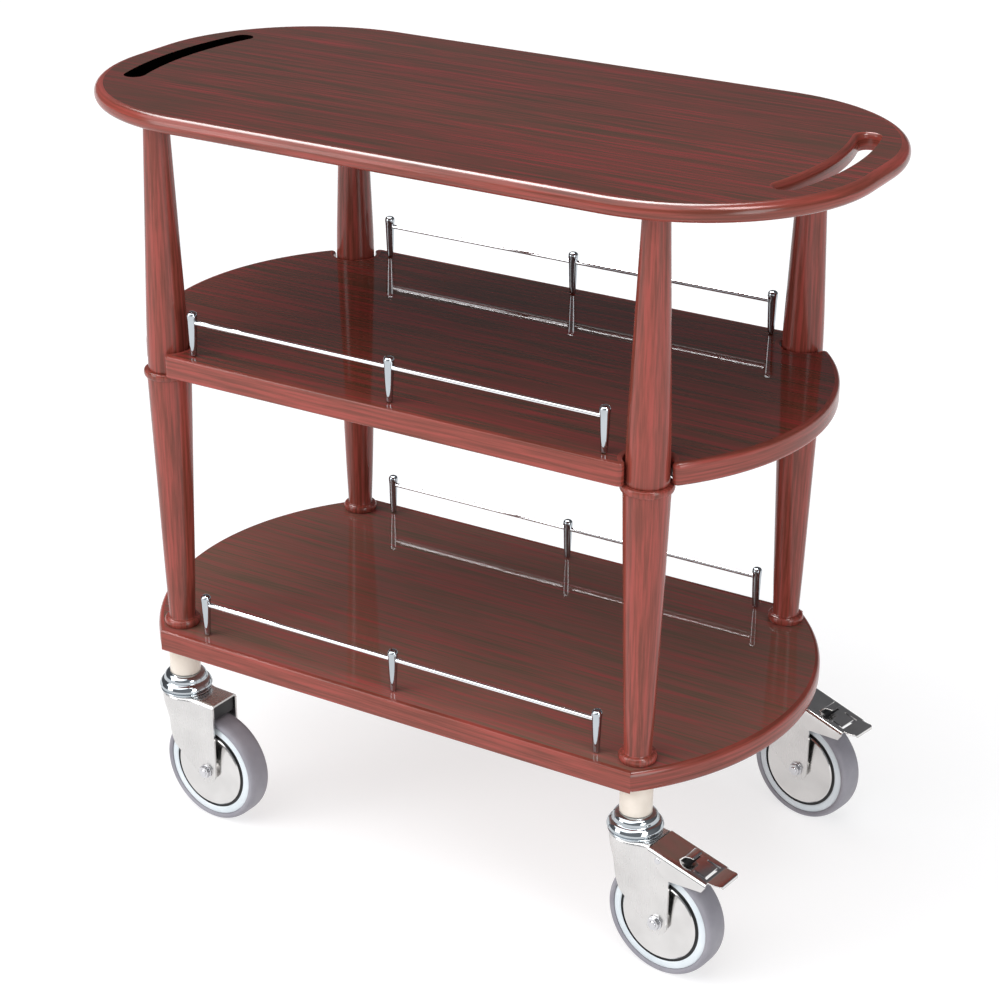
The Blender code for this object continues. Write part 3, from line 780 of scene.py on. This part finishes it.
def axle_end(side, outer):
    """Washer, hexagon nut and stud end on one side of the fork, along the axle's Z."""
    washer = turned(rounded([(0.0, 0.0, 0.0), (WASHER_RADIUS, 0.0, 0.0003),
                             (WASHER_RADIUS, WASHER_THICKNESS, 0.0004),
                             (0.0, WASHER_THICKNESS, 0.0)], 3, closed=False), 32)
    nut = prism([(NUT_RADIUS * math.cos(math.radians(a)), NUT_RADIUS * math.sin(math.radians(a)))
                 for a in range(15, 375, 60)], NUT_BOTTOM, NUT_TOP)
    stud = turned(rounded([(0.0, WASHER_THICKNESS, 0.0), (AXLE_RADIUS, WASHER_THICKNESS, 0.0),
                           (AXLE_RADIUS, STUD_SHOULDER, 0.0012), (0.0, STUD_TIP, 0.0)], 4,
                          closed=False), 24)
    whole = merged(washer, nut, stud)
    flip = Matrix.Rotation(math.pi, 4, "X") if side < 0 else Matrix.Identity(4)
    return moved(whole, Matrix.Translation((0.0, 0.0, side * outer)) @ flip)


TYRE_WALL_RADIUS = 0.0590
TYRE_SHOULDER_RADIUS = 0.0618
TYRE_WALL_INSET = 0.0012
TREAD_INSET = 0.0060
# one side of the wheel centre: radius, distance from the middle, finish of the next face
WHEEL_SIDE = [
    (0.0042, 0.0172, 1), (0.0096, 0.0172, 1), (0.0112, 0.0150, 1), (0.0150, 0.0140, 1),
    (0.0300, 0.0137, 1), (0.0405, 0.0142, 1), (0.0432, 0.0150, 1), (0.0443, 0.0141, 1),
    (0.0445, 0.0118, 2), (0.0474, 0.0118, 2), (0.0477, 0.0130, 0), (0.0490, 0.0137, 0),
    (0.0530, 0.0132, 0), (TYRE_INNER_RADIUS - GAP, 0.0126, 0),
]


def build_wheel(corner, place):
    axle = place @ Matrix.Translation((TRAIL, 0.0, WHEEL_RADIUS))
    axle = axle @ Matrix.Rotation(math.pi / 2, 4, "X")
    half = TYRE_WIDTH / 2
    body = f"wheel_{corner}"
    tyre = rounded([
        (TYRE_INNER_RADIUS, -half + TYRE_WALL_INSET, 0.0), (TYRE_WALL_RADIUS, -half, 0.0012),
        (TYRE_SHOULDER_RADIUS, -half + TYRE_WALL_INSET, 0.0022),
        (WHEEL_RADIUS, -half + TREAD_INSET, 0.0040), (WHEEL_RADIUS, half - TREAD_INSET, 0.0040),
        (TYRE_SHOULDER_RADIUS, half - TYRE_WALL_INSET, 0.0022),
        (TYRE_WALL_RADIUS, half, 0.0012), (TYRE_INNER_RADIUS, half - TYRE_WALL_INSET, 0.0)], 5)
    add_piece(f"tyre_{corner}", turned(tyre, WHEEL_SEGMENTS), ["rubber"], body,
              [f"wheel_tyre_{corner}"], axle)
    profile = [(radius, -z) for radius, z, _tag in WHEEL_SIDE]
    tags = [tag for _radius, _z, tag in WHEEL_SIDE[:-1]] + [0]
    profile += [(radius, z) for radius, z, _tag in reversed(WHEEL_SIDE)]
    tags += [tag for _radius, _z, tag in reversed(WHEEL_SIDE[:-1])] + [1]
    add_piece(f"wheel_centre_{corner}", turned(profile, WHEEL_SEGMENTS, tags),
              ["wheel_ring", "bright_stainless", "black"], body,
              [f"wheel_core_{corner}"], axle, sharp=28)
    reach = CHEEK_OUTER + GAP
    shank = turned([(0.0, -reach), (AXLE_RADIUS, -reach), (AXLE_RADIUS, reach), (0.0, reach)],
                   24)
    bolt = merged(axle_end(-1, reach), axle_end(1, reach), shank)
    add_piece(f"axle_bolt_{corner}", bolt, ["steel"], f"swivel_{corner}",
              [f"wheel_axle_{corner}"], axle, bevel=0.0003)


# brake pedal: x runs from the pivot pin towards the toe, z up from the pin
PEDAL_EDGE_RADIUS = 0.0028
PEDAL_SKIRT = [                   # lower edge of the side flanges
    (PEDAL_START, 0.0088), (-0.0068, 0.0062), (-0.0060, -0.0040), (-0.0017, -0.0068),
    (0.0090, -0.0175), (0.0126, -0.0190), (0.0529, -0.0158), (0.0560, -0.0110),
    (PEDAL_END, -0.0085),
]
PEDAL_STATIONS = [
    PEDAL_START, -0.0090, -0.0068, -0.0060, -0.0040, -0.0017, 0.0040, 0.0090, 0.0126, 0.0200,
    0.0260, 0.0300, 0.0340, 0.0372, 0.0388, 0.0440, 0.0500, 0.0515, 0.0529, 0.0545, 0.0560,
    PEDAL_END,
]
PEDAL_FLAT_EDGE = PEDAL_HALF - PEDAL_EDGE_RADIUS
PEDAL_LANES = [
    -PEDAL_FLAT_EDGE, -0.0134, -0.0108, -0.0040, 0.0040, 0.0108, 0.0134, PEDAL_FLAT_EDGE,
]
PEDAL_BEND_ANGLES = (22.5, 45.0, 67.5)
PEDAL_FLANGE_ROWS = 3
SIDE_SLOT = (0.0372, 0.0529)      # from and to along the pedal
CROSS_SLOT = (0.0500, 0.0529)
LEAF_WINDOW = (0.0200, 0.0300)
TOE = [                           # past the pedal's end, above its top, half width
    (-0.0008, 0.0002, 0.0175), (0.0010, 0.0006, 0.0175), (0.0080, 0.0002, 0.0170),
    (0.0130, 0.0004, 0.0165), (0.0150, 0.0002, 0.0150), (0.0158, -0.0024, 0.0135),
]
LEAF = [                          # from the pin, above the pedal's top, half width
    (0.0185, -0.0004, 0.0105), (0.0205, 0.0018, 0.0105), (0.0225, 0.0048, 0.0104),
    (0.0255, 0.0074, 0.0102), (0.0295, 0.0084, 0.0094), (0.0335, 0.0078, 0.0074),
]
LEAF_SHEET = 0.0012
SHOE_HALF = 0.0105
RIVET_PLACE = 0.0223


def pedal_top(x):
    return PEDAL_RISE - math.tan(PEDAL_SLOPE) * x


def pedal_plate():
    """Channel of the brake pedal with its side flanges and U-shaped slot, from the pin."""
    columns = []
    for x in PEDAL_STATIONS:
        top = pedal_top(x) - PEDAL_SHEET / 2
        edge = top - PEDAL_EDGE_RADIUS
        low = min(interpolate(PEDAL_SKIRT, x), edge - 0.0002)
        half = []
        for j in range(PEDAL_FLANGE_ROWS + 1):
            half.append((PEDAL_HALF, low + (edge - low) * j / PEDAL_FLANGE_ROWS))
        for degrees in PEDAL_BEND_ANGLES:
            angle = math.radians(degrees)
            half.append((PEDAL_HALF - PEDAL_EDGE_RADIUS * (1 - math.cos(angle)),
                         edge + PEDAL_EDGE_RADIUS * math.sin(angle)))
        column = [(x, -y, z) for y, z in half]
        column += [(x, y, top) for y in PEDAL_LANES]
        column += [(x, y, z) for y, z in reversed(half)]
        columns.append(column)
    first_flat = PEDAL_FLANGE_ROWS + 1 + len(PEDAL_BEND_ANGLES)

    def slotted(i, j):
        x = (PEDAL_STATIONS[i] + PEDAL_STATIONS[i + 1]) / 2
        lane = j - first_flat
        beside = lane in (1, 5) and SIDE_SLOT[0] < x < SIDE_SLOT[1]
        across_end = 1 <= lane <= 5 and CROSS_SLOT[0] < x < CROSS_SLOT[1]
        under_leaf = 2 <= lane <= 4 and LEAF_WINDOW[0] < x < LEAF_WINDOW[1]
        return beside or across_end or under_leaf

    return grid(columns, skip=slotted)


def strip(path):
    """A narrow sheet along a path of (x, z, half width)."""
    return grid([[(x, half * k / 4, z) for k in range(-4, 5)] for x, z, half in path])


def build_pedal(corner, place):
    pin = place @ Matrix.Translation((PEDAL_PIVOT_X, 0.0, PEDAL_PIVOT_Z))
    body = f"pedal_{corner}"
    add_piece(f"pedal_channel_{corner}", pedal_plate(), ["bright_stainless"], body,
              [f"brake_pedal_{corner}"], pin, bevel=0.0003,
              thickness=PEDAL_SHEET, sharp=50)
    level = pedal_top(PEDAL_END) - PEDAL_SHEET / 2
    toe = strip([(PEDAL_END + x, level + z, half) for x, z, half in TOE])
    add_piece(f"pedal_toe_{corner}", toe, ["bright_stainless"], body, (), pin,
              bevel=0.0003, thickness=PEDAL_SHEET, sharp=50)
    leaf = strip([(x, pedal_top(x) + z, half) for x, z, half in LEAF])
    add_piece(f"pedal_leaf_{corner}", leaf, ["bright_stainless"], body, (), pin,
              bevel=0.0002, thickness=LEAF_SHEET, sharp=50)
    shoe_outline = rounded([(0.0210, -0.0108, 0.001), (0.0330, -0.0145, 0.001),
                            (0.0345, pedal_top(0.0345) - 0.0020, 0.0005),
                            (0.0200, pedal_top(0.0200) - 0.0020, 0.0005)], 3)
    shoe = prism(shoe_outline, -SHOE_HALF, SHOE_HALF)
    for vert in shoe.verts:
        vert.co = vert.co.xzy
    add_piece(f"brake_shoe_{corner}", shoe, ["black"], body, (), pin, bevel=0.0005)
    rivets = []
    for side in (-1, 1):
        dome = turned(rounded([(0.0, 0.0, 0.0), (0.0036, 0.0, 0.0), (0.0034, 0.0012, 0.0010),
                               (0.0, 0.0019, 0.0)], 5, closed=False), 24)
        turn = Matrix.Rotation(-side * math.pi / 2, 4, "X")
        rivets.append(moved(dome, Matrix.Translation((0.0, side * RIVET_PLACE, 0.0)) @ turn))
    add_piece(f"pedal_rivets_{corner}", merged(*rivets), ["steel"], body, (), pin)


def build_caster(corner, x_sign, y_sign, yaw, brake):
    place = Matrix.Translation((x_sign * LEG_X, y_sign * LEG_Y, 0.0))
    place = place @ Matrix.Rotation(math.radians(yaw), 4, "Z")
    top = LOWER_SURFACE - SHELF_THICKNESS - GAP
    sleeve = rounded([(BORE_RADIUS, SLEEVE_BOTTOM, 0.0), (SLEEVE_RADIUS, SLEEVE_BOTTOM, 0.0006),
                      (SLEEVE_RADIUS, top, 0.0004), (BORE_RADIUS, top, 0.0)], 3)
    add_piece(f"stem_sleeve_{corner}", turned(sleeve, LEG_SEGMENTS), ["cream"],
              "trolley_frame", [f"caster_sleeve_{corner}"], place)
    low, step, high = BEARING_BOTTOM, BEARING_STEP, SLEEVE_BOTTOM - GAP
    bearing = rounded([
        (BORE_RADIUS, low, 0.0), (0.0282, low, 0.0006), (0.0287, low + 0.0018, 0.0010),
        (0.0262, low + 0.0028, 0.0006), (0.0262, low + 0.0038, 0.0006),
        (BEARING_RADIUS, low + 0.0048, 0.0010), (BEARING_RADIUS, low + 0.0070, 0.0016),
        (0.0272, step - 0.0012, 0.0016), (0.0240, step + 0.0004, 0.0010),
        (BEARING_NECK_RADIUS, step + 0.0048, 0.0020), (0.0212, high - 0.0012, 0.0016),
        (0.0180, high, 0.0008), (BORE_RADIUS, high, 0.0)], 5)
    # the swivel race takes the chrome copy with painted shade
    add_piece(f"swivel_race_{corner}", turned(bearing, LEG_SEGMENTS), ["shade_painted_chrome"],
              "trolley_frame", [f"caster_bearing_{corner}"], place)
    build_fork(corner, brake, place)
    build_wheel(corner, place)
    if brake:
        build_pedal(corner, place)


# ---------------------------------------------------------------- stage, light, camera
FLOOR_HALF_SIZE = 30.0
FLOOR_GLOW = 0.68                 # keeps the floor pale away from the lamps


def build_stage():
    look = Look("studio_floor")
    drift = look.noise(0.6, detail=1.0)
    pale = look.ramp(drift, [(0.3, (0.40, 0.40, 0.405, 1.0)), (0.7, (0.42, 0.42, 0.425, 1.0))])
    look.colour(pale)
    look.gloss(drift, 0.75, 0.85)
    look.values(Specular_IOR_Level=0.0, Emission_Color=grey(1.0), Emission_Strength=FLOOR_GLOW)
    bm = bmesh.new()
    bmesh.ops.create_grid(bm, x_segments=12, y_segments=12, size=FLOOR_HALF_SIZE)
    mesh = bpy.data.meshes.new("studio_floor")
    bm.to_mesh(mesh)
    bm.free()
    mesh.materials.append(look.material)
    floor = bpy.data.objects.new("studio_floor", mesh)
    bpy.context.scene.collection.objects.link(floor)


def add_area_light(name, position, target, size, power, along=(1.0, 0.0, 0.0)):
    """A softbox that faces its target, with its long side turned towards a direction."""
    data = bpy.data.lights.new(name, "AREA")
    data.shape = "RECTANGLE"
    data.size, data.size_y = size
    data.energy = power
    lamp = bpy.data.objects.new(name, data)
    bpy.context.scene.collection.objects.link(lamp)
    back = (Vector(position) - Vector(target)).normalized()
    side = (Vector(along) - back * back.dot(Vector(along))).normalized()
    axes = Matrix((side, back.cross(side), back)).transposed().to_4x4()
    lamp.matrix_world = Matrix.Translation(position) @ axes
    return lamp


def add_sky_light(name, towards, strength, spread):
    """A very wide, distant soft source, so that the floor is lit evenly."""
    data = bpy.data.lights.new(name, "SUN")
    data.energy = strength
    data.angle = spread
    lamp = bpy.data.objects.new(name, data)
    bpy.context.scene.collection.objects.link(lamp)
    lamp.rotation_euler = Vector(towards).to_track_quat("Z", "Y").to_euler()


WORLD_TURN = math.radians(59.5)
WORLD_DARK = (0.16, 0.16, 0.17, 1.0)
WORLD_PALE = (0.36, 0.37, 0.39, 1.0)
WORLD_STRENGTH = 0.75
GLOSS_CARD_SPREAD = math.radians(60)


def build_world():
    """A soft horizontal gradient that the metal reflects, and a white backdrop behind it all."""
    world = bpy.data.worlds.new("studio_world")
    bpy.context.scene.world = world
    world.use_nodes = True
    tree = world.node_tree
    background = tree.nodes["Background"]
    place = tree.nodes.new("ShaderNodeTexCoord")
    turn = tree.nodes.new("ShaderNodeMapping")
    turn.inputs["Rotation"].default_value = (0.0, 0.0, WORLD_TURN)
    split = tree.nodes.new("ShaderNodeSeparateXYZ")
    spread = tree.nodes.new("ShaderNodeMapRange")
    spread.inputs["From Min"].default_value = -1.0
    spread.inputs["From Max"].default_value = 1.0
    ramp = tree.nodes.new("ShaderNodeValToRGB")
    stops = ramp.color_ramp.elements
    stops[0].position, stops[0].color = 0.30, WORLD_DARK
    stops[1].position, stops[1].color = 0.85, WORLD_PALE
    tree.links.new(place.outputs["Generated"], turn.inputs["Vector"])
    tree.links.new(turn.outputs["Vector"], split.inputs["Vector"])
    tree.links.new(split.outputs["X"], spread.inputs["Value"])
    tree.links.new(spread.outputs["Result"], ramp.inputs["Fac"])
    tree.links.new(ramp.outputs["Color"], background.inputs["Color"])
    background.inputs["Strength"].default_value = WORLD_STRENGTH
    backdrop = tree.nodes.new("ShaderNodeBackground")
    backdrop.inputs["Color"].default_value = grey(1.0)
    seen = tree.nodes.new("ShaderNodeLightPath")
    choose = tree.nodes.new("ShaderNodeMixShader")
    tree.links.new(seen.outputs["Is Camera Ray"], choose.inputs["Fac"])
    tree.links.new(background.outputs["Background"], choose.inputs[1])
    tree.links.new(backdrop.outputs["Background"], choose.inputs[2])
    tree.links.new(choose.outputs["Shader"], tree.nodes["World Output"].inputs["Surface"])


def build_lamps():
    """Wide overhead light, two softboxes, and two cards that only reflections see."""
    add_sky_light("overhead_diffuser", (-0.30, -0.45, 1.0), 2.7, math.radians(75))
    add_area_light("left_softbox", (-2.0, -2.4, 1.3), (-0.1, 0.0, 0.5), (1.2, 1.8), 30.0)
    add_area_light("right_softbox", (2.7, -1.3, 1.1), (0.2, 0.0, 0.4), (1.0, 1.6), 26.0)
    rear = add_area_light("rear_gloss_card", (-1.18, 0.92, 3.42), (0.0, -0.2, 0.82),
                          (2.6, 1.9), 42.0, along=(-0.862, -0.389, -0.325))
    right = add_area_light("right_gloss_card", (1.50, -0.55, 2.90), (0.3, -0.15, 0.4),
                           (1.0, 1.0), 6.0)
    for gloss_card in (rear, right):
        gloss_card.visible_diffuse = False
        gloss_card.data.spread = GLOSS_CARD_SPREAD


CAMERA_PLACE = (1.2192, -2.0411, 1.4662)
CAMERA_AZIMUTH = math.radians(30.472)
CAMERA_ELEVATION = math.radians(24.578)
CAMERA_ROLL = math.radians(0.409)
CAMERA_LENS = 86.353              # millimetres, on the sensor's width below
CAMERA_SENSOR = 36.0


def build_camera():
    data = bpy.data.cameras.new("studio_camera")
    data.lens = CAMERA_LENS
    data.sensor_width = CAMERA_SENSOR
    data.clip_end = 100.0
    camera = bpy.data.objects.new("studio_camera", data)
    bpy.context.scene.collection.objects.link(camera)
    right = Vector((math.cos(CAMERA_AZIMUTH), math.sin(CAMERA_AZIMUTH), 0.0))
    back = Vector((math.sin(CAMERA_AZIMUTH) * math.cos(CAMERA_ELEVATION),
                   -math.cos(CAMERA_AZIMUTH) * math.cos(CAMERA_ELEVATION),
                   math.sin(CAMERA_ELEVATION)))
    up = back.cross(right)
    across = right * math.cos(CAMERA_ROLL) + up * math.sin(CAMERA_ROLL)
    upward = up * math.cos(CAMERA_ROLL) - right * math.sin(CAMERA_ROLL)
    axes = Matrix((across, upward, back)).transposed().to_4x4()
    camera.matrix_world = Matrix.Translation(CAMERA_PLACE) @ axes
    bpy.context.scene.camera = camera


def finish_carried_nodes():
    """The leg rods keep their CAD shape and take the zinc finish."""
    for corner in CORNERS:
        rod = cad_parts[f"leg_rod_{corner}"]
        for material_slot in rod.material_slots:
            material_slot.material = FINISHES["steel"]


def main():
    build_top()
    build_shelf("middle_shelf", middle_outline, MIDDLE_SURFACE, MIDDLE_MITRE,
                MIDDLE_END_ROLL, "laminate")
    # the lower shelf takes the laminate copy with painted light
    build_shelf("lower_shelf", lower_outline, LOWER_SURFACE, LOWER_MITRE,
                LOWER_END_ROLL, "lower_laminate_painted_light")
    build_legs()
    for tier, surface in (("middle", MIDDLE_SURFACE), ("lower", LOWER_SURFACE)):
        for side, sign in (("front", -1), ("rear", 1)):
            build_rail(tier, side, surface, sign * POST_Y)
    for corner, (x_sign, y_sign, yaw, brake) in CORNERS.items():
        build_caster(corner, x_sign, y_sign, yaw, brake)
    finish_carried_nodes()
    build_stage()
    build_world()
    build_lamps()
    build_camera()
    bpy.context.scene.view_settings.view_transform = "Standard"


main()
